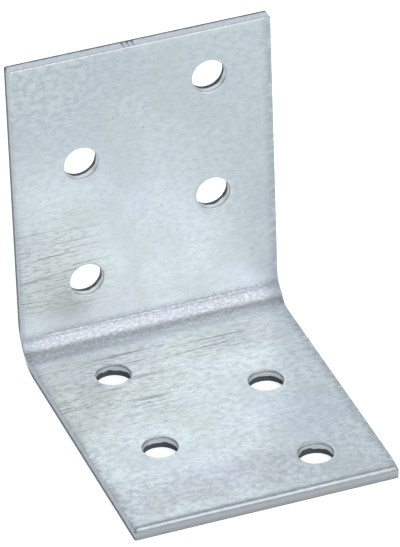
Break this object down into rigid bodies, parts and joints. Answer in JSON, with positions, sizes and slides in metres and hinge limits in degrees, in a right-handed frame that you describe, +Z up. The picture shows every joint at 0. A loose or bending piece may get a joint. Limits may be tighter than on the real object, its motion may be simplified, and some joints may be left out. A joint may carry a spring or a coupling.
{
  "type": "corner brace bracket",
  "caption": "Galvanised steel corner brace: a strip folded to a right angle, with staggered screw holes punched in both legs.",
  "frame": {"origin": "middle of the base leg's underside, under the middle of the bounding box", "axes": "+X across the width, along the fold; +Y towards the outer face of the upright leg, so the base leg runs forward to -Y; +Z up, along the base leg's holes"},
  "size_m": [0.04, 0.05, 0.05],
  "materials": {
    "galvanised_steel": "dull zinc coating with a fine mottle, faint rolling lines along the fold, darker punched edges"
  },
  "bodies": {
    "root": {"bracket": "galvanised_steel"}
  },
  "joints": []
}
